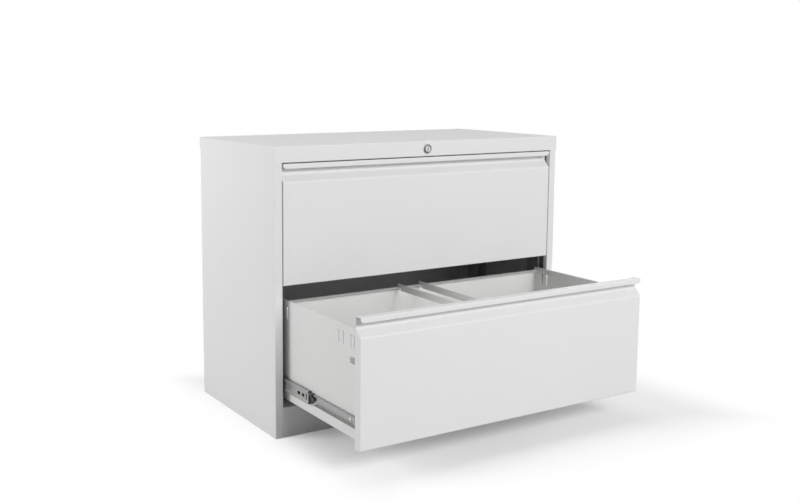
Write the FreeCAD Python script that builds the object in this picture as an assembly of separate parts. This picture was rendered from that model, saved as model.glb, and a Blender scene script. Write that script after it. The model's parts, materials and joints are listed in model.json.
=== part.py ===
# Filing cabinet with two wide drawers, folded from sheet steel, on telescopic slides.
# Millimetres. +X is to the right of someone facing the front, +Y is to the back, +Z is up.
# The origin is on the floor under the middle of the case. The upper drawer is shut and the
# lower one stands fully open.

import FreeCAD
import Part
import math
import os

# Case
case_width = 900.0
case_depth = 450.0
case_height = 726.0
sheet = 0.8
bend = 2.4
cap_lap_gap = 0.4
cap_front_height = 40.0
cap_side_height = 30.5
cap_lip_depth = 18.0
plinth_height = 77.0
base_flange = 22.0
stile_width = 21.8
stile_return = 14.0
panel_flange = 18.0

# Uprights that carry the slides
upright_sheet = 1.2
upright_width = 50.0
upright_foot = 12.0
upright_inset = 39.0

# Gaps round the drawer fronts
gap_side = 2.0
gap_end = 2.5
gap_between = 5.0

# Drawer fronts, with a pull folded into the top edge
front_depth = 20.0
front_rear_flange = 26.0
front_foot_flange = 14.0
pull_lip_drop = 12.0
pull_recess_depth = 18.4
pull_wall_drop = 26.5
pull_slope_end = 45.0
pull_soft_bend = 7.0
pull_wall_bend = 12.0
pull_corner = 9.0
pull_end_inset = 1.5

# Drawer bodies
body_lift = 14.0
body_top_drop = 32.0
body_rear_room = 56.6
hem_height = 8.0
inner_flange = 45.0
inner_flange_clear = 2.5
back_flange = 20.0
shelf_depth = 14.0
shelf_drop = 9.0
rail_left_x = -64.0
rail_right_x = 4.0
rail_thickness = 2.0
rail_drop = 17.0
rail_tab = 5.0
rail_slot_gap = 0.3

# Holes in the drawer sides, measured from the front or rear end and down from the top edge
keyholes_from_front = (22.0, 35.0, 68.0, 89.0)
keyholes_from_rear = (53.0, 34.0)
keyhole_drop = 19.0
keyhole_radius = 3.0
keyhole_slot_width = 3.0
keyhole_slot_length = 27.0
window_place = 29.0
window_drop = 75.0
window_width = 20.0
window_height = 15.0
side_hole_from_rear = 77.0
side_hole_drop = 98.0
side_hole_radius = 3.0

# Telescopic slides
slide_rear_room = 14.5
slide_height = 40.0
slide_thickness = 12.7
slide_sheet = 1.2
slide_bend = 1.6
slide_gap = 0.3
slide_setback = 1.5
slide_lift = 43.0
slide_lip = 2.8
ball_height = 2.4
retainer_sheet = 0.5
retainer_margin = 8.0
middle_shortfall = 35.0
inner_shortfall = 4.0
web_rib_margin = 6.0
web_rib_depth = 1.0
access_hole_length = 13.0
access_hole_height = 8.0
access_hole_places = (26.0, 47.0)
end_slot_place = 9.5
end_slot_width = 4.5
end_slot_height = 17.0

# Release lever on each inner slide member
lever_thickness = 3.0
lever_band = 4.0
lever_bend = 5.5
lever_hook_reach = 9.0
lever_toe_reach = 4.5
lever_plate_length = 13.0
lever_plate_height = 11.0
lever_pivot_radius = 1.8
lever_pivot_gap = 0.05
lever_skin = 0.8
lever_pivot_head = 2.9
lever_boss_radius = 4.2
lever_lead = 5.0
lever_swing = 6.0

# Fasteners
screw_radius = 2.0
screw_gap = 0.05
screw_length = 5.0
screw_head_radius = 4.0
screw_head_height = 1.8
case_screw_radius = 2.5
case_screw_length = 8.0
case_screw_head_radius = 4.0
slide_screw_from_front = 30.0
slide_screw_from_rear = 61.0
front_screw_count = 3
front_screw_margin = 30.0
back_screw_count = 4
back_screw_margin = 60.0

# Lock in the middle of the cap's front
lock_drop = 20.6
lock_head_radius = 12.0
lock_head_height = 2.6
lock_head_chamfer = 0.7
lock_barrel_radius = 9.4
lock_barrel_length = 22.0
lock_hole_gap = 0.1
lock_rear_wall = 3.0
plug_radius = 7.0
plug_gap = 0.05
plug_proud = 0.5
plug_neck_radius = 5.0
plug_square = 7.0
keyway_width = 1.8
keyway_height = 9.0
keyway_depth = 6.0
nut_across_flats = 24.0
nut_height = 4.5
cam_thickness = 2.0
cam_hub_radius = 8.0
cam_reach = 16.0
cam_width = 11.0
cam_gap = 0.2

# Faces and planes worked out from the sizes above
cap_lap = sheet + cap_lap_gap
half_width = case_width / 2
half_depth = case_depth / 2
front_plane = -half_depth + cap_lap
rear_plane = half_depth - cap_lap
side_plane = half_width - cap_lap
opening_half = side_plane - stile_width
under_cap = case_height - sheet
front_half = opening_half - gap_side
front_height = (case_height - cap_front_height - plinth_height - 2 * gap_end - gap_between) / 2
front_back = front_plane + front_depth
body_height = front_height - body_lift - body_top_drop
body_depth = rear_plane - front_back - body_rear_room
slide_face = opening_half - slide_gap
body_half = slide_face - slide_thickness
slide_front = front_back + slide_setback
slide_rear = front_back + body_depth - slide_rear_room
slide_length = slide_rear - slide_front
drawer_travel = slide_length
slide_screw_places = (slide_screw_from_front,
                      slide_length - inner_shortfall - slide_screw_from_rear)
keyhole_places = keyholes_from_front + tuple(body_depth - place for place in keyholes_from_rear)
lower_front_base = plinth_height + gap_end
upper_front_base = lower_front_base + front_height + gap_between
lock_height = case_height - lock_drop


def vec(x, y, z):
    return FreeCAD.Vector(x, y, z)


def block(x0, x1, y0, y1, z0, z1):
    return Part.makeBox(x1 - x0, y1 - y0, z1 - z0, vec(x0, y0, z0))


def along_x(radius, x0, x1, y, z):
    return Part.makeCylinder(radius, x1 - x0, vec(x0, y, z), vec(1, 0, 0))


def along_y(radius, y0, y1, x, z):
    return Part.makeCylinder(radius, y1 - y0, vec(x, y0, z), vec(0, 1, 0))


def mirrored(shape):
    return shape.mirror(vec(0, 0, 0), vec(1, 0, 0))


def in_xy(a, b):
    return vec(a, b, 0)


def in_xz(a, b):
    return vec(a, 0, b)


def in_yz(a, b):
    return vec(0, a, b)


def unit(start, end):
    length = math.hypot(end[0] - start[0], end[1] - start[1])
    return (end[0] - start[0]) / length, (end[1] - start[1]) / length


def rounded_run(points, radii, plane, closed=False):
    """Edges along points, with an arc of the given radius at each inner corner."""
    count = len(points)
    corners = range(count) if closed else range(1, count - 1)
    joints = {}
    for i in corners:
        point = points[i]
        before = unit(points[i - 1], point)
        after = unit(point, points[(i + 1) % count])
        turn = math.acos(max(-1.0, min(1.0, before[0] * after[0] + before[1] * after[1])))
        radius = radii[i]
        if radius < 1e-6 or turn < 1e-6:
            joints[i] = (point, point, point)
            continue
        reach = radius * math.tan(turn / 2)
        first = (point[0] - before[0] * reach, point[1] - before[1] * reach)
        last = (point[0] + after[0] * reach, point[1] + after[1] * reach)
        toward = unit((before[0], before[1]), (after[0], after[1]))
        depth = radius / math.cos(turn / 2) - radius
        joints[i] = (first, (point[0] + toward[0] * depth, point[1] + toward[1] * depth), last)
    if not closed:
        joints[0] = (points[0],) * 3
        joints[count - 1] = (points[-1],) * 3
    edges = []
    for i in range(count):
        first, middle, last = joints[i]
        if math.dist(first, last) > 1e-6:
            edges.append(Part.Arc(plane(*first), plane(*middle), plane(*last)).toShape())
        follow = joints[(i + 1) % count][0]
        if (closed or i < count - 1) and math.dist(last, follow) > 1e-6:
            edges.append(Part.LineSegment(plane(*last), plane(*follow)).toShape())
    return edges, joints[0][2], joints[count - 1][0]


def folded(points, thickness, radius, plane, start, run):
    """A bent sheet. The points follow one of its faces, and the sheet lies to their left.

    radius is the outside radius of every bend, or a list with one for each point.
    """
    count = len(points)
    outside = list(radius) if isinstance(radius, (list, tuple)) else [radius] * count
    near, far, other = [0.0] * count, [0.0] * count, []
    for i, point in enumerate(points):
        before = unit(points[i - 1], point) if i > 0 else unit(point, points[1])
        after = unit(point, points[i + 1]) if i < count - 1 else before
        left_before, left_after = (-before[1], before[0]), (-after[1], after[0])
        spread = thickness / (1 + left_before[0] * left_after[0] + left_before[1] * left_after[1])
        other.append((point[0] + spread * (left_before[0] + left_after[0]),
                      point[1] + spread * (left_before[1] + left_after[1])))
        turns_left = before[0] * after[1] - before[1] * after[0] > 0
        near[i] = outside[i] if turns_left else outside[i] - thickness
        far[i] = outside[i] - thickness if turns_left else outside[i]
    one, one_start, one_end = rounded_run(points, near, plane)
    two, two_start, two_end = rounded_run(other, far, plane)
    ends = [Part.LineSegment(plane(*one_end), plane(*two_end)).toShape(),
            Part.LineSegment(plane(*two_start), plane(*one_start)).toShape()]
    wire = Part.Wire(Part.__sortEdges__(one + two + ends))
    face = Part.Face(wire)
    face.translate(start)
    return face.extrude(run)


def prism(points, radii, plane, start, run):
    """A solid bar with the outline of points, its corners rounded by radii."""
    edges, first, last = rounded_run(points, radii, plane, closed=True)
    face = Part.Face(Part.Wire(Part.__sortEdges__(edges)))
    face.translate(start)
    return face.extrude(run)


def rounded_box(x0, x1, y0, y1, z0, z1, radius):
    """A box whose upright edges and top edges are rounded, open to below."""
    box = block(x0, x1, y0, y1, z0, z1)
    edges = [e for e in box.Edges if e.BoundBox.ZMax > z0 + radius / 2]
    return box.makeFillet(radius, edges)


# Case


def make_top_cap():
    low = case_height - cap_front_height
    outer = rounded_box(-half_width, half_width, -half_depth, half_depth, low, case_height, bend)
    inner = rounded_box(-half_width + sheet, half_width - sheet, -half_depth + sheet,
                        half_depth - sheet, low - bend, under_cap, bend - sheet)
    cap = outer.cut(inner)
    skirt = block(-case_width, case_width, -half_depth + bend, case_depth,
                  low - bend, case_height - cap_side_height)
    cap = cap.cut(skirt)
    joint = low + 2 * bend
    cap = cap.cut(block(-opening_half, opening_half, -case_depth, 0, low - bend, joint))
    lip = folded([(-half_depth + cap_lip_depth, low), (-half_depth, low), (-half_depth, joint)][::-1],
                 sheet, bend, in_yz, vec(-opening_half, 0, 0), vec(2 * opening_half, 0, 0))
    cap = cap.fuse(lip).removeSplitter()
    hole = along_y(lock_barrel_radius + lock_hole_gap, -half_depth - 1, -half_depth + 2 * sheet,
                   0, lock_height)
    return cap.cut(hole)


def make_side_panel():
    """The left side: skin, front stile and rear flange folded from one sheet."""
    outline = [(-side_plane + stile_width, rear_plane), (-side_plane, rear_plane),
               (-side_plane, front_plane), (-opening_half, front_plane),
               (-opening_half, front_plane + stile_return)]
    panel = folded(outline, sheet, bend, in_xy, vec(0, 0, 0), vec(0, 0, under_cap))
    inside = -side_plane + sheet / 2
    flange_front = front_plane + stile_return + bend
    flange_rear = rear_plane - sheet - panel_flange
    top = block(inside, -side_plane + panel_flange, flange_front, flange_rear,
                under_cap - sheet, under_cap)
    foot = block(inside, -opening_half, flange_front, flange_rear, 0, sheet)
    panel = panel.fuse([top, foot]).removeSplitter()
    panel = panel.common(rounded_box(-side_plane, 0, front_plane, rear_plane, 0, under_cap, bend))
    for place in back_screw_heights():
        hole = along_y(screw_radius + screw_gap, rear_plane - 2 * sheet, rear_plane + 1,
                       -back_screw_x(), place)
        panel = panel.cut(hole)
    return panel


def back_screw_x():
    return side_plane - stile_width / 2


def back_screw_heights():
    low, high = back_screw_margin, case_height - cap_side_height - back_screw_margin / 2
    step = (high - low) / (back_screw_count - 1)
    return [low + step * i for i in range(back_screw_count)]


def make_back_panel():
    outer = rear_plane - sheet
    half = side_plane - bend - cap_lap_gap
    outline = [(outer, 0), (outer, under_cap), (outer - panel_flange + bend, under_cap)]
    panel = folded(outline, sheet, bend, in_yz, vec(-half, 0, 0), vec(2 * half, 0, 0))
    for x in (-back_screw_x(), back_screw_x()):
        for place in back_screw_heights():
            panel = panel.cut(along_y(screw_radius + screw_gap, outer - 2 * sheet, outer + 1, x, place))
    return panel


def make_back_screws():
    screws = []
    for x in (-back_screw_x(), back_screw_x()):
        for place in back_screw_heights():
            head = along_y(screw_head_radius, rear_plane, rear_plane + screw_head_height, x, place)
            shank = along_y(screw_radius, rear_plane - screw_length, rear_plane, x, place)
            screws.append(head.fuse(shank).removeSplitter())
    return Part.makeCompound(screws)


def make_base_pan():
    """The bottom of the case: a tray turned over, whose front wall is the plinth."""
    rear = rear_plane - 2 * sheet
    outer = rounded_box(-opening_half, opening_half, front_plane, rear, 0, plinth_height, bend)
    inner = rounded_box(-opening_half + sheet, opening_half - sheet, front_plane + sheet,
                        rear - sheet, -bend, plinth_height - sheet, bend - sheet)
    ring = block(-opening_half + sheet / 2, opening_half - sheet / 2, front_plane + sheet / 2,
                 rear - sheet / 2, 0, sheet)
    hole = block(-opening_half + base_flange, opening_half - base_flange, front_plane + base_flange,
                 rear - base_flange, -1, 2 * sheet)
    corners = rounded_box(-opening_half, opening_half, front_plane, rear, -1, plinth_height, bend)
    return outer.cut(inner).fuse(ring.cut(hole).common(corners)).removeSplitter()


def upright_middles():
    front = slide_front + upright_inset
    return front, slide_rear - upright_inset


def slide_heights():
    return [base + body_lift + slide_lift for base in (lower_front_base, upper_front_base)]


def make_upright(middle):
    """A hat-shaped post on the left side, its web against the slides."""
    low, high = plinth_height + cap_lap_gap, under_cap - sheet
    wall = -side_plane + sheet + upright_sheet
    y0, y1 = middle - upright_width / 2, middle + upright_width / 2
    outline = [(wall, y0 - upright_foot), (wall, y0), (-slide_face, y0), (-slide_face, y1),
               (wall, y1), (wall, y1 + upright_foot)]
    post = folded(outline, upright_sheet, bend, in_xy, vec(0, 0, low), vec(0, 0, high - low))
    for height in slide_heights():
        post = post.cut(along_x(case_screw_radius + screw_gap, -slide_face - 2 * upright_sheet,
                                -slide_face + 1, middle, height))
    return post


# Lock


def make_lock_housing():
    face = -half_depth - lock_head_height
    rear = -half_depth + lock_barrel_length
    head = along_y(lock_head_radius, face, -half_depth, 0, lock_height)
    rim = [e for e in head.Edges if e.BoundBox.YMax < face + lock_head_chamfer / 2]
    head = head.makeChamfer(lock_head_chamfer, rim)
    body = head.fuse(along_y(lock_barrel_radius, -half_depth, rear, 0, lock_height))
    body = body.cut(along_y(plug_radius + plug_gap, face - 1, rear - lock_rear_wall, 0, lock_height))
    return body.cut(along_y(plug_neck_radius + plug_gap, face, rear + 1, 0, lock_height))


def make_lock_plug():
    face = -half_depth - lock_head_height - plug_proud
    rear = -half_depth + lock_barrel_length
    plug = along_y(plug_radius, face, rear - lock_rear_wall - plug_gap, 0, lock_height)
    plug = plug.fuse(along_y(plug_neck_radius, face + plug_proud, rear + cam_gap, 0, lock_height))
    half = plug_square / 2
    plug = plug.fuse(block(-half, half, rear, rear + cam_gap + cam_thickness,
                           lock_height - half, lock_height + half))
    plug = plug.cut(block(-keyway_width / 2, keyway_width / 2, face - 1, face + keyway_depth,
                          lock_height - keyway_height / 2, lock_height + keyway_height / 2))
    tail = rear + cam_gap + cam_thickness
    return plug.cut(along_y(screw_radius + screw_gap, tail - screw_length - screw_gap, tail + 1,
                            0, lock_height)).removeSplitter()


def make_lock_nut():
    inner = -half_depth + sheet
    corner = nut_across_flats / math.sqrt(3)
    points = [(corner * math.cos(math.radians(60 * i)), lock_height + corner * math.sin(math.radians(60 * i)))
              for i in range(6)]
    nut = prism(points, [0.0] * 6, in_xz, vec(0, inner, 0), vec(0, nut_height, 0))
    return nut.cut(along_y(lock_barrel_radius + lock_hole_gap, inner - 1, inner + nut_height + 1,
                           0, lock_height))


def make_lock_cam():
    """A flat cam on the plug's square end, level when the lock is open."""
    front = -half_depth + lock_barrel_length + cam_gap
    cam = along_y(cam_hub_radius, front, front + cam_thickness, 0, lock_height)
    half = cam_width / 2
    cam = cam.fuse(block(0, cam_reach - half, front, front + cam_thickness,
                         lock_height - half, lock_height + half))
    cam = cam.fuse(along_y(half, front, front + cam_thickness, cam_reach - half, lock_height))
    hole = plug_square / 2 + plug_gap
    return cam.cut(block(-hole, hole, front - 1, front + cam_thickness + 1,
                         lock_height - hole, lock_height + hole)).removeSplitter()


def make_cam_screw():
    seat = -half_depth + lock_barrel_length + cam_gap + cam_thickness
    head = along_y(plug_square / 2 + screw_head_height, seat, seat + screw_head_height, 0, lock_height)
    return head.fuse(along_y(screw_radius, seat - screw_length, seat, 0, lock_height)).removeSplitter()


# Slides, made for the left side and shut; across is measured from the upright to the drawer


def at(across):
    return -slide_face + across


def slide_levels():
    """Half heights of the outer faces of the outer, middle and inner members."""
    outer = slide_height / 2
    middle = outer - slide_sheet - ball_height
    return outer, middle, middle - slide_sheet - ball_height


def member_webs():
    """Where the webs of the middle member and the tips of the inner member begin."""
    middle = slide_sheet + 2 * slide_gap + retainer_sheet
    return middle, middle + slide_sheet + 2 * slide_gap + retainer_sheet


def lip_face():
    """How far across the lips of the outer and middle members reach."""
    return slide_thickness - slide_sheet - slide_gap


def middle_front():
    return slide_front + middle_shortfall


def inner_front():
    return slide_front + inner_shortfall


def lever_y():
    """The lever stands just ahead of the middle member when the slide is fully out."""
    return middle_front() + drawer_travel / 2 - lever_lead - lever_band / 2


def channel(web, level, back):
    """A channel open to the drawer; back gives the points down its web."""
    return ([(at(lip_face()), level - slide_lip), (at(lip_face()), level), (at(web), level)] + back +
            [(at(web), -level), (at(lip_face()), -level), (at(lip_face()), slide_lip - level)])


def web_rib(web):
    """The points of a rib pressed into the middle of a web, from the top down."""
    spread = (web - member_webs()[0]) * math.tan(math.pi / 8)
    half = slide_levels()[1] - web_rib_margin + spread
    inside = half - web_rib_depth
    return [(at(web), half), (at(web + web_rib_depth), inside),
            (at(web + web_rib_depth), -inside), (at(web), -half)]


def make_outer_member(height):
    member = folded(channel(0, slide_levels()[0], []), slide_sheet, slide_bend, in_xz,
                    vec(0, slide_front, height), vec(0, slide_length, 0))
    for y in upright_middles():
        member = member.cut(countersunk(screw_gap, y, height))
    return member


def countersunk(room, y, height):
    """A flat-headed screw from the channel into the upright, widened by room."""
    head = Part.makeCone(case_screw_radius + room, case_screw_head_radius + room, slide_sheet,
                         vec(at(0), y, height), vec(1, 0, 0))
    shank = along_x(case_screw_radius + room, at(0) - case_screw_length, at(0), y, height)
    return head.fuse(shank).removeSplitter()


def make_middle_member(height):
    length = slide_rear - middle_front()
    web = member_webs()[0]
    member = folded(channel(web, slide_levels()[1], web_rib(web)), slide_sheet, slide_bend, in_xz,
                    vec(0, middle_front(), height), vec(0, length, 0))
    cuts = [web_slot(place, access_hole_length, access_hole_height, height) for place in access_hole_places]
    cuts.append(web_slot(end_slot_place, end_slot_width, end_slot_height, height))
    return member.cut(cuts)


def web_slot(place, length, tall, height):
    """A slot with round ends, cut through the rib of the middle member's web."""
    y, half_y, half_z = middle_front() + place, length / 2, tall / 2
    corners = [(y - half_y, height - half_z), (y + half_y, height - half_z),
               (y + half_y, height + half_z), (y - half_y, height + half_z)]
    radius = min(half_y, half_z) * 0.98
    return prism(corners, [radius] * 4, in_yz, vec(at(0), 0, 0), vec(slide_thickness, 0, 0))


def make_inner_member(height):
    level = slide_levels()[2]
    tip = member_webs()[1]
    outline = [(at(tip), -level), (at(slide_thickness), -level), (at(slide_thickness), level),
               (at(tip), level)]
    member = folded(outline, slide_sheet, slide_bend, in_xz,
                    vec(0, inner_front(), height), vec(0, slide_rear - inner_front(), 0))
    front = lever_y() - max(lever_hook_reach, lever_plate_length) - lever_room()
    rear = lever_y() + lever_toe_reach + lever_room()
    notch = block(at(0), at(slide_thickness - slide_sheet), front, rear,
                  height - slide_height, height + slide_height)
    member = member.cut(notch)
    web = at(slide_thickness - slide_sheet)
    near, far = lever_faces()
    pin = along_x(lever_pivot_radius, near + lever_skin + slide_gap, web, lever_y(), height)
    shoulder = along_x(lever_pivot_head, far + slide_gap, web + slide_sheet / 2, lever_y(), height)
    member = member.fuse([pin, shoulder]).removeSplitter()
    for place in slide_screw_places:
        member = member.cut(along_x(screw_radius + screw_gap, web - 1, at(slide_thickness) + 1,
                                    inner_front() + place, height))
    return member


def lever_room():
    """How far the lever's ends move when it is pressed, and a little more."""
    return slide_height / 2 * math.tan(math.radians(lever_swing))


def lever_faces():
    """The lever's two faces, between the lips of the middle member and its web."""
    far = at(lip_face() - slide_sheet - slide_gap)
    return far - lever_thickness, far


def make_lever(height):
    """An S-shaped lever: a strip with a hook at its top and a toe, and a finger plate in front."""
    level = slide_levels()[1] - slide_sheet - 3 * slide_gap
    x0, x1 = lever_faces()
    y, half = lever_y(), lever_band / 2
    path = [(y + lever_toe_reach, height - level), (y - half, height - level),
            (y - half, height + level - lever_band), (y - lever_hook_reach, height + level - lever_band)]
    path = path[::-1]
    strip = folded(path, lever_band, lever_bend, in_yz, vec(x0, 0, 0), vec(lever_thickness, 0, 0))
    plate_half = lever_plate_height / 2
    plate = prism([(y, height - plate_half), (y, height + plate_half),
                   (y - lever_plate_length, height + plate_half / 2),
                   (y - lever_plate_length, height - plate_half)],
                  [0.0, 0.0, half, half], in_yz, vec(x0, 0, 0), vec(lever_thickness, 0, 0))
    boss = along_x(lever_boss_radius, x0, x1, y, height)
    lever = strip.fuse([plate, boss]).removeSplitter()
    return lever.cut(along_x(lever_pivot_radius + lever_pivot_gap, x0 + lever_skin, x1 + 1, y, height))


def make_cage(height, web, level, rib, front, rear):
    """A ball cage: a thin web with an arm in each ball track, bent from one strip."""
    side = lip_face() - slide_sheet - slide_gap
    reach = level + (ball_height + retainer_sheet) / 2
    outline = [(at(side), reach), (at(web), reach)] + rib + [(at(web), -reach), (at(side), -reach)]
    return folded(outline, retainer_sheet, 2 * retainer_sheet, in_xz,
                  vec(0, front, height), vec(0, rear - front, 0))


def make_outer_retainer(height):
    front = slide_front + drawer_travel / 4 + retainer_margin
    rear = slide_rear - drawer_travel / 4 - retainer_margin
    return make_cage(height, slide_sheet + slide_gap, slide_levels()[1], [], front, rear)


def make_inner_retainer(height):
    front = lever_y() + lever_toe_reach + lever_room() + retainer_margin / 2
    rear = slide_rear - drawer_travel / 4 - retainer_margin
    web = member_webs()[0] + slide_sheet + slide_gap
    return make_cage(height, web, slide_levels()[2], web_rib(web), front, rear)


def make_slide_screws(height):
    screws = []
    web = at(slide_thickness - slide_sheet)
    for place in slide_screw_places:
        y = inner_front() + place
        head = along_x(screw_head_radius, web - screw_head_height, web, y, height)
        shank = along_x(screw_radius, web, web + screw_length, y, height)
        screws.append(head.fuse(shank).removeSplitter())
    return screws


# Drawers, made shut


def pan_outside(base):
    """The side view of a front, with the step under the lip."""
    top = base + front_height
    wall = front_plane + pull_recess_depth
    points = [(front_plane, base), (front_plane, top - pull_slope_end), (wall, top - pull_wall_drop),
              (wall, top), (front_back, top), (front_back, base)]
    return points, [bend, pull_soft_bend, pull_wall_bend, 0.0, 0.0, 0.0]


def pan_hollow(base):
    """The side view of the space inside a front, one sheet in from its faces."""
    rise = (pull_slope_end - pull_wall_drop) / pull_recess_depth
    foot = base + front_height - pull_slope_end - sheet * math.tan(math.atan(1 / rise) / 2)
    face, rear = front_plane + sheet, front_back - sheet
    points = [(face, base + sheet), (face, foot), (rear, foot + rise * (rear - face)),
              (rear, base + sheet)]
    return points, [bend - sheet, pull_soft_bend - sheet, 0.0, 0.0]


def pan_solid(base, side_view, inset):
    """A front's side view met with its plan, moved in by inset."""
    points, radii = side_view
    half = front_half - inset
    bar = prism(points, radii, in_yz, vec(-half, 0, 0), vec(2 * half, 0, 0))
    face = front_plane + inset
    corners = [(-half, face), (half, face), (half, front_back), (-half, front_back)]
    plan = prism(corners, [bend - inset, bend - inset, 0.0, 0.0], in_xy,
                 vec(0, 0, base), vec(0, 0, front_height))
    return bar.common(plan)


def make_front(base):
    """The drawer front: a hollow pan with a recess and a folded lip along the top."""
    top = base + front_height
    way_out = block(front_rear_flange - front_half, front_half - front_rear_flange,
                    front_back - 2 * sheet, front_back + 1, base + front_foot_flange,
                    top - pull_slope_end)
    pan = pan_solid(base, pan_outside(base), 0.0).cut(pan_solid(base, pan_hollow(base), sheet))
    pan = pan.cut(way_out)
    lip = folded([(front_plane + sheet, top - pull_lip_drop), (front_plane + sheet, top - sheet),
                  (front_plane + pull_recess_depth + sheet / 2, top - sheet)],
                 sheet, bend, in_yz, vec(pull_end_inset - front_half, 0, 0),
                 vec(2 * (front_half - pull_end_inset), 0, 0))
    for side in (-1, 1):
        corner = side * (front_half - pull_end_inset)
        centre = corner - side * pull_corner
        low = top - pull_lip_drop
        waste = block(min(corner, centre), max(corner, centre), front_plane - 1,
                      front_plane + 2 * sheet, low, low + pull_corner)
        waste = waste.cut(along_y(pull_corner, front_plane - 2, front_plane + 3 * sheet,
                                  centre, low + pull_corner))
        lip = lip.cut(waste)
    pan = pan.fuse(lip).removeSplitter()
    for x, z in front_screw_spots(base):
        pan = pan.cut(along_y(screw_radius + screw_gap, front_back - 2 * sheet, front_back + 1, x, z))
    return pan


def front_screw_spots(base):
    floor, roof = base + body_lift, base + body_lift + body_height - shelf_drop
    low, high = floor + front_screw_margin, roof - front_screw_margin
    step = (high - low) / (front_screw_count - 1)
    x = front_half - front_rear_flange + 2 * screw_head_radius
    return [(side * x, low + step * i) for side in (-1, 1) for i in range(front_screw_count)]


def make_front_screws(base):
    seat = front_back + sheet
    screws = []
    for x, z in front_screw_spots(base):
        head = along_y(screw_head_radius, seat, seat + screw_head_height, x, z)
        screws.append(head.fuse(along_y(screw_radius, seat - screw_length, seat, x, z)).removeSplitter())
    return Part.makeCompound(screws)


def shelf_slots(y, top):
    """Slots in a shelf for the tabs of the hanging rails."""
    reach_x = rail_thickness / 2 + rail_slot_gap
    reach_y = rail_tab / 2 + rail_slot_gap
    return [block(x - reach_x, x + reach_x, y - reach_y, y + reach_y, top - 2 * sheet, top + 1)
            for x in (rail_left_x, rail_right_x)]


def make_inner_front(base):
    """The sheet behind the front, with flanges along the sides and a shelf for the rails."""
    floor = base + body_lift + bend
    top = base + body_lift + body_height - shelf_drop
    half = body_half - sheet
    outline = [(-half, front_back + inner_flange), (-half, front_back), (half, front_back),
               (half, front_back + inner_flange)]
    panel = folded(outline, sheet, bend, in_xy, vec(0, 0, floor), vec(0, 0, top - floor))
    window_foot = base + body_lift + body_height - window_drop - window_height / 2
    above = block(-body_half, body_half, front_back + 2 * bend, front_back + inner_flange + 1,
                  window_foot - inner_flange_clear, top + 1)
    panel = panel.cut(above)
    shelf = block(2 * bend - half, half - 2 * bend, front_back + sheet / 2, front_back + shelf_depth,
                  top - sheet, top)
    panel = panel.fuse(shelf).removeSplitter()
    for slot in shelf_slots(rail_tab_front(), top):
        panel = panel.cut(slot)
    for x, z in front_screw_spots(base):
        panel = panel.cut(along_y(screw_radius + screw_gap, front_back - 1, front_back + 2 * sheet, x, z))
    for place in slide_screw_places:
        panel = panel.cut(along_x(screw_radius + screw_gap, -body_half, body_half, inner_front() + place,
                                  base + body_lift + slide_lift))
    return panel


def rail_tab_front():
    return front_back + sheet + (shelf_depth - sheet) / 2


def rail_tab_back():
    return front_back + body_depth - sheet - (shelf_depth - sheet) / 2


def make_drawer_back(base):
    floor = base + body_lift + bend
    top = base + body_lift + body_height - shelf_drop
    half = body_half - sheet
    rear = front_back + body_depth
    outline = [(half, rear - back_flange), (half, rear), (-half, rear), (-half, rear - back_flange)]
    panel = folded(outline, sheet, bend, in_xy, vec(0, 0, floor), vec(0, 0, top - floor))
    shelf = block(2 * bend - half, half - 2 * bend, rear - shelf_depth, rear - sheet / 2, top - sheet, top)
    panel = panel.fuse(shelf).removeSplitter()
    for slot in shelf_slots(rail_tab_back(), top):
        panel = panel.cut(slot)
    return panel


def make_drawer_body(base):
    """Bottom and both sides folded from one sheet, with hemmed top edges that carry files."""
    floor = base + body_lift
    top = floor + body_height
    outline = [(-body_half, top), (-body_half, floor), (body_half, floor), (body_half, top)]
    tray = folded(outline, sheet, bend, in_xz, vec(0, front_back, 0), vec(0, body_depth, 0))
    hems = []
    cuts = []
    for side in (-1, 1):
        skin, inside = side * (body_half - sheet / 2), side * (body_half - 2 * sheet)
        hems.append(block(min(skin, inside), max(skin, inside), front_back, front_back + body_depth,
                          top - hem_height, top))
        x0, x1 = sorted((side * (body_half + 1), side * (body_half - 3 * sheet)))
        cuts += side_cuts(x0, x1, top)
        for place in slide_screw_places:
            cuts.append(along_x(screw_radius + screw_gap, x0, x1, inner_front() + place,
                                floor + slide_lift))
    tray = tray.fuse(hems).removeSplitter()
    return tray.cut(cuts)


def side_cuts(x0, x1, top):
    """Keyholes, a window and a round hole through one drawer side."""
    cuts = []
    for place in keyhole_places:
        y, z = front_back + place, top - keyhole_drop
        half = keyhole_slot_width / 2
        foot = z - keyhole_slot_length + half
        keyhole = along_x(keyhole_radius, x0, x1, y, z)
        keyhole = keyhole.fuse([block(x0, x1, y - half, y + half, foot, z), along_x(half, x0, x1, y, foot)])
        cuts.append(keyhole.removeSplitter())
    cuts.append(window_cut(x0, x1, top))
    cuts.append(along_x(side_hole_radius, x0, x1, front_back + body_depth - side_hole_from_rear,
                        top - side_hole_drop))
    return cuts


def window_cut(x0, x1, top):
    """The window through a drawer side."""
    y, z = front_back + window_place, top - window_drop
    half_y, half_z = window_width / 2, window_height / 2
    return block(x0, x1, y - half_y, y + half_y, z - half_z, z + half_z)


def make_rail(base, x):
    """A hanging rail across the drawer from front to back, its tabs dropped into the shelves."""
    top = base + body_lift + body_height
    shelf = top - shelf_drop
    x0, x1 = x - rail_thickness / 2, x + rail_thickness / 2
    front, rear = front_back + sheet + slide_gap, front_back + body_depth - sheet - slide_gap
    bar = block(x0, x1, front, rear, shelf, top)
    web = block(x0, x1, front_back + shelf_depth + slide_gap,
                front_back + body_depth - shelf_depth - slide_gap, top - rail_drop, shelf)
    tabs = [block(x0, x1, y - rail_tab / 2, y + rail_tab / 2, top - rail_drop, shelf)
            for y in (rail_tab_front(), rail_tab_back())]
    return bar.fuse([web] + tabs).removeSplitter()


# Assembly


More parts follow.
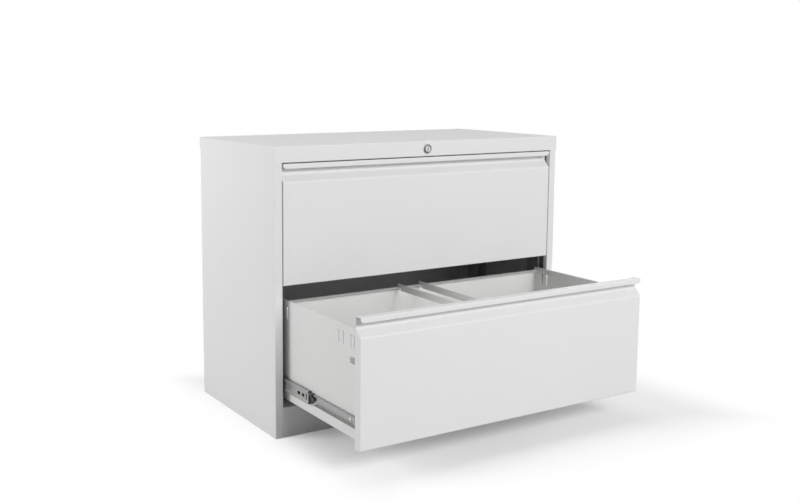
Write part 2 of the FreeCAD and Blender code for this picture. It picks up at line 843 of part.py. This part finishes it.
def add_slide(parts, drawer, side, height, out):
    """One slide of a drawer, drawn out by out, under names that start with drawer and side."""
    made = {
        "slide_outer": (make_outer_member(height), 0.0),
        "slide_middle": (make_middle_member(height), out / 2),
        "slide_inner": (make_inner_member(height), out),
        "slide_lever": (make_lever(height), out),
        "outer_retainer": (make_outer_retainer(height), out / 4),
        "inner_retainer": (make_inner_retainer(height), out * 3 / 4),
    }
    for name, (shape, moved) in made.items():
        shape = shape if side == "left" else mirrored(shape)
        parts[f"{drawer}_{side}_{name}"] = shape.translated(vec(0, -moved, 0))


def add_drawer(parts, drawer, base, out):
    made = {
        "drawer_front": make_front(base),
        "drawer_inner_front": make_inner_front(base),
        "drawer_body": make_drawer_body(base),
        "drawer_back": make_drawer_back(base),
        "left_hanging_rail": make_rail(base, rail_left_x),
        "right_hanging_rail": make_rail(base, rail_right_x),
        "front_screws": make_front_screws(base),
    }
    height = base + body_lift + slide_lift
    screws = make_slide_screws(height)
    made["slide_screws"] = Part.makeCompound(screws + [mirrored(s) for s in screws])
    for name, shape in made.items():
        parts[f"{drawer}_{name}"] = shape.translated(vec(0, -out, 0))
    for side in ("left", "right"):
        add_slide(parts, drawer, side, height, out)


def build():
    parts = {
        "top_cap": make_top_cap(),
        "left_side_panel": make_side_panel(),
        "right_side_panel": mirrored(make_side_panel()),
        "back_panel": make_back_panel(),
        "back_panel_screws": make_back_screws(),
        "base_pan": make_base_pan(),
        "lock_housing": make_lock_housing(),
        "lock_plug": make_lock_plug(),
        "lock_nut": make_lock_nut(),
        "lock_cam": make_lock_cam(),
        "lock_cam_screw": make_cam_screw(),
    }
    for place, middle in zip(("front", "rear"), upright_middles()):
        parts[f"left_{place}_upright"] = make_upright(middle)
        parts[f"right_{place}_upright"] = mirrored(make_upright(middle))
    screws = [countersunk(0.0, y, z) for y in upright_middles() for z in slide_heights()]
    parts["case_slide_screws"] = Part.makeCompound(screws + [mirrored(s) for s in screws])
    add_drawer(parts, "upper", upper_front_base, 0.0)
    add_drawer(parts, "lower", lower_front_base, drawer_travel)
    return parts


os.makedirs("parts", exist_ok=True)
for name, shape in build().items():
    shape.exportStep(f"parts/{name}.step")
    solids = shape.Solids
    print(name, len(solids), round(sum(s.Volume for s in solids) / 1000, 2), shape.isValid())
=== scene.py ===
# Looks of the filing cabinet: powder coat, zinc plate, chrome and moulded plastic, with the
# screws and ball cages in full, a pale floor, soft light and the camera. Metres.

import json
import math

import bmesh
import bpy
from mathutils import Matrix, Vector

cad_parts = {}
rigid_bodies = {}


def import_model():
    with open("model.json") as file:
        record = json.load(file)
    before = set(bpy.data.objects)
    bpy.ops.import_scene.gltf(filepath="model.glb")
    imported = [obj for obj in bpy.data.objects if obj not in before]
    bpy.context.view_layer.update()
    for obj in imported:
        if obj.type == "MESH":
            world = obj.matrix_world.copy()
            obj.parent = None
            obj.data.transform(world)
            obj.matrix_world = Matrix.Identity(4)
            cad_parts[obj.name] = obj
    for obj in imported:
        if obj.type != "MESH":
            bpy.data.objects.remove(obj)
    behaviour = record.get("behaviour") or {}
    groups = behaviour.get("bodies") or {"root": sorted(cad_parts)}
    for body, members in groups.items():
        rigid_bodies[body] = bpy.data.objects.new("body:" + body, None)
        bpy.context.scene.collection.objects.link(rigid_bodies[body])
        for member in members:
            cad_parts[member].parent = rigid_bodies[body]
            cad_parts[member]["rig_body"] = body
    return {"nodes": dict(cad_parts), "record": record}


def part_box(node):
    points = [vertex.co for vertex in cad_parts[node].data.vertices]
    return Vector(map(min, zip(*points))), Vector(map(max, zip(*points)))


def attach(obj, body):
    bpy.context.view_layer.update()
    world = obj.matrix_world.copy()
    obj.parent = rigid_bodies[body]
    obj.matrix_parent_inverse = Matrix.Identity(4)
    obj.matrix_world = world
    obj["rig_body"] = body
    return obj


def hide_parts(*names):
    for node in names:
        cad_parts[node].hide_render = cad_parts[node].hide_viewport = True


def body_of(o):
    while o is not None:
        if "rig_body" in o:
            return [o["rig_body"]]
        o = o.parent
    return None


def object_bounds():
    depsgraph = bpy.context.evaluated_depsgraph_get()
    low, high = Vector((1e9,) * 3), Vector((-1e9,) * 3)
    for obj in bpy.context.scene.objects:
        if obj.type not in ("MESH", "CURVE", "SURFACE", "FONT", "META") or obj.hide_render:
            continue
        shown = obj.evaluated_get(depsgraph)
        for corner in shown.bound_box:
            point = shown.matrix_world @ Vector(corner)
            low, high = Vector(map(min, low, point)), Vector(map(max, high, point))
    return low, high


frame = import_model()
cad_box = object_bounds()

# Camera, from the straight edges of the case, with little upward shift
camera_place = Vector((-1.54482, -2.37260, 0.89586))
camera_yaw = 0.5390
camera_pitch = -0.1328
camera_roll = 0.0021
camera_lens = 45.439
camera_shift = (0.0728, -0.0500)

# Screws; the recess sizes are shares of the head's own
shank_radius = 0.0020
tip_share = 0.7
tip_length = 0.0006
head_height = 0.0018
flat_head_height = 0.0012
flat_shank_radius = 0.0025
recess_arm = 0.56
recess_half_width = 0.13
recess_depth = 0.62
recess_foot_arm = 0.72
recess_foot_width = 0.8
screw_sides = 28
first_turn = 0.4
turn_between = 1.1

# Lock; the turned rings come every half millimetre, given in radians per metre
keyway_half_width = 0.0009
keyway_half_height = 0.0045
# Painted shade on the plug: black inside the keyway past these depths, and a darkening round its mouth out to
# this reach
keyway_dark_from = 0.0002
keyway_dark_to = 0.0008
keyway_painted_shade_reach = 0.0014
keyway_painted_shade_strength = 0.8
turned_waves = 12000.0

# Floor and room; the shadow lies to the right of the case and the floor turns white round it
floor_half = 40.0
floor_tone = 0.94
floor_glow = 0.15
floor_bounce = 0.50
shadow_side = 0.13
shadow_reach = 0.22
room_light = 0.28

# Ball cages in the slides
cage_sheet = 0.0005
ball_radius = 0.00115
ball_pitch = 0.0095
ball_margin = 0.006
ball_track = 0.62


class Value:
    """A shader socket that can stand in a Python sum."""

    def __init__(self, finish, socket):
        self.finish = finish
        self.socket = socket

    def sum_with(self, operation, first, second):
        return self.finish.node("ShaderNodeMath", {"operation": operation}, {0: first, 1: second})

    def __add__(self, other):
        return self.sum_with("ADD", self, other)

    def __radd__(self, other):
        return self.sum_with("ADD", other, self)

    def __sub__(self, other):
        return self.sum_with("SUBTRACT", self, other)

    def __rsub__(self, other):
        return self.sum_with("SUBTRACT", other, self)

    def __mul__(self, other):
        return self.sum_with("MULTIPLY", self, other)

    def __rmul__(self, other):
        return self.sum_with("MULTIPLY", other, self)


class Finish:
    """A node tree, for a material or the world."""

    def __init__(self, owner):
        owner.use_nodes = True
        self.owner = owner
        self.tree = owner.node_tree
        self.tree.nodes.clear()

    def node(self, kind, settings, sockets, output=0):
        """One node. Settings come first, then the values or links of its sockets."""
        made = self.tree.nodes.new(kind)
        for name, setting in settings.items():
            if name == "stops":
                self.set_stops(made.color_ramp, setting)
            else:
                setattr(made, name, setting)
        for name, given in sockets.items():
            if isinstance(given, Value):
                self.tree.links.new(given.socket, made.inputs[name])
            else:
                made.inputs[name].default_value = given
        return Value(self, made.outputs[output]) if made.outputs else made

    def set_stops(self, ramp, stops):
        while len(ramp.elements) < len(stops):
            ramp.elements.new(1.0)
        for element, (place, shade) in zip(ramp.elements, stops):
            element.position = place
            element.color = (shade, shade, shade, 1.0)

    def place(self):
        """A point on the piece, in metres, that moves with it."""
        return self.node("ShaderNodeTexCoord", {}, {}, "Object")

    def stretched(self, place, scale):
        return self.node("ShaderNodeVectorMath", {"operation": "MULTIPLY"}, {0: place, 1: scale})

    def noise(self, place, scale, detail=3.0):
        return self.node("ShaderNodeTexNoise", {}, {"Vector": place, "Scale": scale, "Detail": detail}, "Fac")

    def ramp(self, value, stops):
        return self.node("ShaderNodeValToRGB", {"stops": stops}, {"Fac": value})

    def blend(self, amount, first, second):
        return self.node("ShaderNodeMix", {"data_type": "RGBA"}, {0: amount, 6: first, 7: second}, 2)

    def bump(self, height, strength, distance):
        return self.node("ShaderNodeBump", {},
                         {"Height": height, "Strength": strength, "Distance": distance})

    def surface(self, shader):
        self.node("ShaderNodeOutputMaterial", {}, {"Surface": shader})
        return self.owner


def new_finish(name):
    return Finish(bpy.data.materials.new(name))


def powder_coat(name, tone, cloudy):
    """Satin white powder coat: orange peel, faint clouding, hairline scuffs and a few specks of dust."""
    coat = new_finish(name)
    place = coat.place()
    clouds = coat.noise(place, 5.0, 4.0)
    peel = coat.noise(place, 420.0, 2.0)
    scuffs = coat.ramp(coat.noise(coat.stretched(place, (1.0, 1.0, 30.0)), 90.0, 2.0),
                       [(0.0, 0.0), (0.64, 0.0), (0.74, 1.0)])
    dust = coat.ramp(coat.noise(place, 1400.0, 1.0), [(0.0, 0.0), (0.73, 0.0), (0.78, 1.0)])
    dark = tuple(channel * (1.0 - cloudy) for channel in tone)
    colour = coat.blend(clouds, dark + (1.0,), tone + (1.0,))
    colour = coat.blend(dust * 0.10, colour, (0.55, 0.54, 0.52, 1.0))
    rough = 0.36 + clouds * 0.10 + peel * 0.06 + scuffs * 0.07
    return coat.surface(coat.node("ShaderNodeBsdfPrincipled", {}, {
        "Base Color": colour,
        "Roughness": rough,
        "Specular IOR Level": 0.45,
        "Normal": coat.bump(peel, 0.16, 0.0005),
    }))


def zinc_plate(name, tone, spangle, along):
    """Bright zinc on cold-rolled steel: crystals, rolling lines and a few dull patches."""
    plate = new_finish(name)
    place = plate.place()
    crystals = plate.node("ShaderNodeTexVoronoi", {}, {"Vector": place, "Scale": spangle}, "Color")
    crystals = plate.node("ShaderNodeSeparateColor", {}, {"Color": crystals})
    lines = plate.noise(plate.stretched(place, along), 60.0, 4.0)
    patches = plate.noise(place, 22.0, 3.0)
    shade = crystals * 0.35 + lines * 0.40 + patches * 0.25
    dull = tuple(channel * 0.72 for channel in tone)
    bright = tuple(min(1.0, channel * 1.16) for channel in tone)
    return plate.surface(plate.node("ShaderNodeBsdfPrincipled", {}, {
        "Base Color": plate.blend(shade, dull + (1.0,), bright + (1.0,)),
        "Metallic": 1.0,
        "Roughness": 0.26 + crystals * 0.08 + patches * 0.16,
        "Normal": plate.bump(lines, 0.08, 0.0003),
    }))


def chrome_plate(name, tone, rough):
    """Polished plate with hairline scratches and a little haze."""
    plate = new_finish(name)
    place = plate.place()
    hair = plate.noise(plate.stretched(place, (1.0, 1.0, 14.0)), 700.0, 3.0)
    haze = plate.noise(place, 160.0, 2.0)
    dull = tuple(channel * 0.86 for channel in tone)
    return plate.surface(plate.node("ShaderNodeBsdfPrincipled", {}, {
        "Base Color": plate.blend(haze, dull + (1.0,), tone + (1.0,)),
        "Metallic": 1.0,
        "Roughness": rough + hair * 0.10 + haze * 0.06,
        "Normal": plate.bump(hair, 0.05, 0.0001),
    }))


def from_middle(plate, middle):
    """How far a point of the lock is from its middle, across and up."""
    spoke = plate.node("ShaderNodeVectorMath", {"operation": "SUBTRACT"}, {0: plate.place(), 1: middle})
    return plate.stretched(spoke, (1.0, 0.0, 1.0))


def turned_chrome(name, tone, rough, middle):
    """Chrome on a turned face: fine rings round the middle of the lock, and a little haze."""
    plate = new_finish(name)
    reach = plate.node("ShaderNodeVectorMath", {"operation": "LENGTH"},
                       {0: from_middle(plate, middle)}, "Value")
    rings = plate.node("ShaderNodeMath", {"operation": "SINE"}, {0: reach * turned_waves})
    haze = plate.noise(plate.place(), 160.0, 2.0)
    dull = tuple(channel * 0.80 for channel in tone)
    return plate.surface(plate.node("ShaderNodeBsdfPrincipled", {}, {
        "Base Color": plate.blend(haze, dull + (1.0,), tone + (1.0,)),
        "Metallic": 1.0,
        "Roughness": rough + haze * 0.12,
        "Normal": plate.bump(rings, 0.30, 0.0001),
    }))


def lock_nickel(name, tone, rough, middle):
    """Satin nickel on the plug's face, with painted shade round the mouth of the keyway and black painted
    shade inside it.
    """
    plate = new_finish(name)
    place = plate.place()
    hair = plate.noise(plate.stretched(place, (1.0, 1.0, 14.0)), 700.0, 3.0)
    behind = plate.node("ShaderNodeSeparateXYZ", {}, {0: place}, "Y")
    # Painted shade: the inside of the keyway turns black past a given depth behind the plug's face
    inside = plate.node("ShaderNodeMapRange", {}, {"Value": behind,
                                                   "From Min": middle[1] + keyway_dark_from,
                                                   "From Max": middle[1] + keyway_dark_to})
    # Painted shade round the keyway's mouth, strongest at its edge and fading out over a short reach
    spoke = plate.node("ShaderNodeVectorMath", {"operation": "ABSOLUTE"}, {0: from_middle(plate, middle)})
    across = plate.node("ShaderNodeSeparateXYZ", {}, {0: spoke}, "X")
    up = plate.node("ShaderNodeSeparateXYZ", {}, {0: spoke}, "Z")
    edge = plate.node("ShaderNodeMath", {"operation": "MAXIMUM"},
                      {0: across - keyway_half_width, 1: up - keyway_half_height})
    mouth = plate.node("ShaderNodeMapRange", {"interpolation_type": "SMOOTHSTEP"},
                       {"Value": edge, "From Min": 0.0, "From Max": keyway_painted_shade_reach,
                        "To Min": keyway_painted_shade_strength, "To Max": 0.0})
    dull = tuple(channel * 0.86 for channel in tone)
    colour = plate.blend(hair, dull + (1.0,), tone + (1.0,))
    colour = plate.blend(mouth, colour, (0.03, 0.03, 0.03, 1.0))
    return plate.surface(plate.node("ShaderNodeBsdfPrincipled", {}, {
        "Base Color": plate.blend(inside, colour, (0.012, 0.012, 0.012, 1.0)),
        "Metallic": 1.0,
        "Roughness": rough + hair * 0.10,
        "Normal": plate.bump(hair, 0.05, 0.0001),
    }))


def moulded_plastic(name, tone):
    """Black moulded nylon with a fine spark grain and rubbed spots."""
    nylon = new_finish(name)
    place = nylon.place()
    grain = nylon.noise(place, 2600.0, 2.0)
    rubbed = nylon.noise(place, 130.0, 3.0)
    pale = tuple(channel * 1.8 + 0.01 for channel in tone)
    return nylon.surface(nylon.node("ShaderNodeBsdfPrincipled", {}, {
        "Base Color": nylon.blend(rubbed, tone + (1.0,), pale + (1.0,)),
        "Roughness": 0.38 + rubbed * 0.18 + grain * 0.05,
        "Normal": nylon.bump(grain, 0.18, 0.0002),
    }))


case_paint = powder_coat("case_paint", (0.80, 0.795, 0.798), 0.035)
front_paint = powder_coat("front_paint", (0.80, 0.797, 0.795), 0.030)
drawer_paint = powder_coat("drawer_paint", (0.785, 0.782, 0.775), 0.045)
slide_zinc = zinc_plate("slide_zinc", (0.36, 0.36, 0.355), 260.0, (60.0, 1.0, 60.0))
post_zinc = zinc_plate("post_zinc", (0.40, 0.405, 0.405), 110.0, (40.0, 40.0, 1.0))
screw_zinc = zinc_plate("screw_zinc", (0.70, 0.70, 0.69), 700.0, (1.0, 1.0, 1.0))
cage_steel = zinc_plate("cage_steel", (0.46, 0.46, 0.45), 400.0, (50.0, 1.0, 50.0))
ball_steel = chrome_plate("ball_steel", (0.70, 0.70, 0.71), 0.08)
lock_low, lock_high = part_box("lock_plug")
lock_middle = ((lock_low.x + lock_high.x) / 2, lock_low.y, (lock_low.z + lock_high.z) / 2)
# The ring's tone is near black, far darker than chrome: a painted reflection of dark surroundings
ring_chrome = turned_chrome("ring_chrome", (0.19, 0.19, 0.195), 0.08, lock_middle)
plug_nickel = lock_nickel("plug_nickel", (0.72, 0.72, 0.72), 0.20, lock_middle)
lever_nylon = moulded_plastic("lever_nylon", (0.018, 0.018, 0.019))

slot_finish = {"white_paint": case_paint, "zinc_steel": slide_zinc, "black_plastic": lever_nylon,
               "chrome": ring_chrome}
named_finish = {"upright": post_zinc, "screws": screw_zinc, "screw": screw_zinc, "retainer": cage_steel,
                "drawer_front": front_paint, "drawer_inner_front": drawer_paint, "drawer_body": drawer_paint,
                "drawer_back": drawer_paint, "hanging_rail": drawer_paint, "lock_plug": plug_nickel}


def finish_node(name, node_slot):
    chosen = slot_finish[node_slot]
    for ending in sorted(named_finish, key=len):
        if name.endswith(ending):
            chosen = named_finish[ending]
    mesh = frame["nodes"][name].data
    mesh.materials.clear()
    mesh.materials.append(chosen)


for part in frame["record"]["subparts"]:
    finish_node(part["node"], part["material_slot"])


def islands(name):
    """The lowest and highest corner of each separate solid in a node."""
    bm = bmesh.new()
    bm.from_mesh(frame["nodes"][name].data)
    bmesh.ops.remove_doubles(bm, verts=bm.verts, dist=1e-6)
    left = set(bm.verts)
    boxes = []
    while left:
        open_verts = [left.pop()]
        low = high = open_verts[0].co.copy()
        while open_verts:
            vert = open_verts.pop()
            low = Vector(map(min, low, vert.co))
            high = Vector(map(max, high, vert.co))
            for edge in vert.link_edges:
                other = edge.other_vert(vert)
                if other in left:
                    left.remove(other)
                    open_verts.append(other)
        boxes.append((low, high))
    bm.free()
    return boxes


def ring(bm, radius, height, sides=screw_sides):
    step = 2 * math.pi / sides
    return [bm.verts.new((radius * math.cos(step * i), radius * math.sin(step * i), height))
            for i in range(sides)]


def join_rings(bm, first, second):
    count = len(first)
    for i in range(count):
        j = (i + 1) % count
        bm.faces.new((first[i], first[j], second[j], second[i]))


def cross_loop(bm, arm, half, height):
    corners = [(arm, -half), (arm, half), (half, half), (half, arm), (-half, arm), (-half, half),
               (-arm, half), (-arm, -half), (-half, -half), (-half, -arm), (half, -arm), (half, -half)]
    return [bm.verts.new((x, y, height)) for x, y in corners]


def loop_edges(bm, loop):
    return [bm.edges.get((loop[i - 1], loop[i])) or bm.edges.new((loop[i - 1], loop[i]))
            for i in range(len(loop))]


def screw_shape(profile, deep):
    """A screw along +Z from its tip: turned profile, flat top and a tapered cross recess."""
    bm = bmesh.new()
    rings = [ring(bm, radius, height) for radius, height in profile]
    for first, second in zip(rings, rings[1:]):
        join_rings(bm, first, second)
    bm.faces.new(rings[0][::-1])
    top_radius, top = profile[-1]
    arm, half = top_radius * recess_arm, top_radius * recess_half_width
    mouth = cross_loop(bm, arm, half, top)
    foot = cross_loop(bm, arm * recess_foot_arm, half * recess_foot_width, top - deep)
    join_rings(bm, foot, mouth)
    bm.faces.new(foot)
    bmesh.ops.triangle_fill(bm, use_beauty=True, edges=loop_edges(bm, rings[-1]) + loop_edges(bm, mouth))
    bmesh.ops.recalc_face_normals(bm, faces=bm.faces)
    return bm


def pan_head(head_radius, length):
    """A pan-head screw, its seat at z 0."""
    profile = [(shank_radius * tip_share, -length), (shank_radius, -length + tip_length), (shank_radius, 0.0),
               (head_radius, 0.0), (head_radius, head_height * 0.45),
               (head_radius * 0.95, head_height * 0.72), (head_radius * 0.84, head_height * 0.92),
               (head_radius * 0.70, head_height)]
    return screw_shape(profile, head_height * recess_depth)


def flat_head(head_radius, length):
    """A countersunk screw, its top at z 0."""
    rim = 0.00015
    profile = [(flat_shank_radius * tip_share, -length), (flat_shank_radius, -length + tip_length),
               (flat_shank_radius, -flat_head_height), (head_radius, -rim), (head_radius - rim, 0.0)]
    return screw_shape(profile, flat_head_height * recess_depth)


def add_shape(into, shape, matrix):
    """Copies a bmesh into another one, moved by a matrix."""
    mesh = bpy.data.meshes.new("part_shape")
    shape.to_mesh(mesh)
    mesh.transform(matrix)
    into.from_mesh(mesh)
    bpy.data.meshes.remove(mesh)


def finished_piece(name, bm, finish, smooth_angle=0.6):
    mesh = bpy.data.meshes.new(name)
    bm.to_mesh(mesh)
    bm.free()
    mesh.materials.append(finish)
    mesh.shade_smooth()
    mesh.set_sharp_from_angle(angle=smooth_angle)
    piece = bpy.data.objects.new(name, mesh)
    bpy.context.scene.collection.objects.link(piece)
    return piece


def stand_in_for(piece, node, body):
    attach(piece, body)
    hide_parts(node)


def body_of_node(name):
    return body_of(frame["nodes"][name])[0]


def screw_set(node, axis, outward, flat):
    """Screws in the places of a node's plain ones; outward gives the side that a head is on."""
    bm = bmesh.new()
    for turn, (low, high) in enumerate(islands(node)):
        centre = (low + high) / 2
        way = outward(centre)
        across = (axis + 1) % 3
        radius = (high[across] - low[across]) / 2
        top = high[axis] if way > 0 else low[axis]
        length = high[axis] - low[axis]
        shape = flat_head(radius, length) if flat else pan_head(radius, length - head_height)
        seat = centre.copy()
        seat[axis] = top if flat else top - way * head_height
        direction = Vector([way if i == axis else 0.0 for i in range(3)])
        place = Matrix.Translation(seat) @ direction.to_track_quat("Z", "Y").to_matrix().to_4x4()
        add_shape(bm, shape, place @ Matrix.Rotation(first_turn + turn_between * turn, 4, "Z"))
        shape.free()
    piece = finished_piece(node + "_in_full", bm, screw_zinc)
    stand_in_for(piece, node, body_of_node(node))


def backward(centre):
    return 1.0


def away_from_drawer(centre):
    return -1.0 if centre.x < 0 else 1.0


def toward_drawer(centre):
    return 1.0 if centre.x < 0 else -1.0


screw_set("back_panel_screws", 1, backward, False)
screw_set("lock_cam_screw", 1, backward, False)
screw_set("case_slide_screws", 0, toward_drawer, True)
for drawer in ("upper", "lower"):
    screw_set(drawer + "_front_screws", 1, backward, False)
    screw_set(drawer + "_slide_screws", 0, away_from_drawer, False)


def ball_rows(node):
    """Steel balls held by a cage, one row in its upper arm and one in its lower arm."""
    low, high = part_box(node)
    bm = bmesh.new()
    track = low.x + (high.x - low.x) * (ball_track if low.x < 0 else 1.0 - ball_track)
    run = high.y - low.y - 2 * ball_margin
    count = int(run / ball_pitch) + 1
    for arm in (low.z + cage_sheet / 2, high.z - cage_sheet / 2):
        for i in range(count):
            place = Matrix.Translation((track, low.y + ball_margin + run * i / (count - 1), arm))
            bmesh.ops.create_icosphere(bm, subdivisions=2, radius=ball_radius, matrix=place)
    balls = finished_piece(node + "_balls", bm, ball_steel, math.pi)
    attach(balls, body_of_node(node))


for drawer in ("upper", "lower"):
    for side in ("left", "right"):
        for cage in ("outer", "inner"):
            ball_rows(f"{drawer}_{side}_{cage}_retainer")


# Floor and light


def camera_share(tree):
    """1 for what the camera sees straight or in a mirror or glass, else 0."""
    seen = tree.node("ShaderNodeLightPath", {}, {}, "Is Camera Ray")
    mirrored = tree.node("ShaderNodeLightPath", {}, {}, "Is Glossy Ray")
    through = tree.node("ShaderNodeLightPath", {}, {}, "Is Transmission Ray")
    return tree.node("ShaderNodeMath", {"operation": "MAXIMUM"}, {
        0: seen, 1: tree.node("ShaderNodeMath", {"operation": "MAXIMUM"}, {0: mirrored, 1: through})})


def make_floor():
    floor_paint = new_finish("floor_paint")
    lit = floor_paint.node("ShaderNodeBsdfDiffuse", {}, {"Color": (floor_tone, floor_tone, floor_tone, 1.0)})
    glow = floor_paint.node("ShaderNodeEmission", {}, {"Strength": floor_glow})
    near = floor_paint.node("ShaderNodeAddShader", {}, {0: lit, 1: glow})
    white = floor_paint.node("ShaderNodeEmission", {}, {"Strength": 1.0})
    middle = (cad_box[0] + cad_box[1]) / 2
    half = (cad_box[1] - cad_box[0]) / 2
    spot = floor_paint.node("ShaderNodeVectorMath", {"operation": "SUBTRACT"},
                            {0: floor_paint.place(), 1: (middle.x + shadow_side, middle.y, 0.0)})
    spot = floor_paint.node("ShaderNodeVectorMath", {"operation": "ABSOLUTE"}, {0: spot})
    across = floor_paint.node("ShaderNodeSeparateXYZ", {}, {0: spot}, "X")
    along = floor_paint.node("ShaderNodeSeparateXYZ", {}, {0: spot}, "Y")
    reach = floor_paint.node("ShaderNodeMath", {"operation": "MAXIMUM"},
                             {0: across - half.x, 1: along - half.y})
    away = floor_paint.node("ShaderNodeMapRange", {"interpolation_type": "SMOOTHSTEP"},
                            {"Value": reach, "From Min": 0.0, "From Max": shadow_reach})
    both = floor_paint.node("ShaderNodeMixShader", {}, {0: away, 1: near, 2: white})
    bounce = floor_paint.node("ShaderNodeBsdfDiffuse", {},
                              {"Color": (floor_bounce, floor_bounce, floor_bounce, 1.0)})
    seen = floor_paint.node("ShaderNodeMixShader", {}, {0: camera_share(floor_paint), 1: bounce, 2: both})
    bm = bmesh.new()
    bmesh.ops.create_grid(bm, x_segments=8, y_segments=8, size=floor_half)
    floor = finished_piece("floor", bm, floor_paint.surface(seen))


def make_world():
    world = bpy.data.worlds.new("studio")
    bpy.context.scene.world = world
    studio = Finish(world)
    soft = studio.node("ShaderNodeBackground", {}, {"Strength": room_light})
    white = studio.node("ShaderNodeBackground", {}, {"Color": (1.0, 1.0, 1.0, 1.0), "Strength": 1.0})
    both = studio.node("ShaderNodeMixShader", {}, {0: camera_share(studio), 1: soft, 2: white})
    studio.node("ShaderNodeOutputWorld", {}, {"Surface": both})


def softbox(name, place, aim, size, power):
    lamp = bpy.data.lights.new(name, "AREA")
    lamp.shape = "RECTANGLE"
    lamp.size, lamp.size_y = size
    lamp.energy = power
    box = bpy.data.objects.new(name, lamp)
    box.location = place
    box.rotation_euler = (Vector(aim) - Vector(place)).to_track_quat("-Z", "Y").to_euler()
    bpy.context.scene.collection.objects.link(box)


def make_camera():
    forward = Vector((math.sin(camera_yaw) * math.cos(camera_pitch),
                      math.cos(camera_yaw) * math.cos(camera_pitch), math.sin(camera_pitch)))
    level = Vector((math.cos(camera_yaw), -math.sin(camera_yaw), 0.0))
    upright = level.cross(forward)
    right = level * math.cos(camera_roll) + upright * math.sin(camera_roll)
    up = upright * math.cos(camera_roll) - level * math.sin(camera_roll)
    lens = bpy.data.cameras.new("camera")
    lens.sensor_width = 36.0
    lens.lens = camera_lens
    lens.shift_x, lens.shift_y = camera_shift
    lens.clip_end = 200.0
    camera = bpy.data.objects.new("camera", lens)
    turn = Matrix((right, up, -forward)).transposed().to_4x4()
    camera.matrix_world = Matrix.Translation(camera_place) @ turn
    bpy.context.scene.collection.objects.link(camera)
    bpy.context.scene.camera = camera


make_floor()
make_world()
softbox("key_softbox", (0.4, -6.0, 3.7), (0.0, -0.3, 0.4), (2.3, 1.7), 214.0)
softbox("front_softbox", (1.3, -4.2, 1.6), (0.0, -0.3, 0.4), (1.8, 1.6), 36.0)
softbox("top_softbox", (-0.2, -0.2, 3.5), (0.0, -0.2, 0.4), (1.2, 0.8), 7.0)
softbox("left_softbox", (-3.4, 0.9, 1.5), (-0.45, 0.0, 0.4), (1.6, 1.6), 66.0)
softbox("right_softbox", (2.8, 1.4, 0.45), (0.45, 0.05, 0.36), (1.6, 0.6), 26.0)
softbox("back_softbox", (0.3, 3.4, 0.40), (0.0, 0.2, 0.36), (2.6, 0.6), 34.0)
make_camera()
bpy.context.scene.view_settings.view_transform = "Standard"
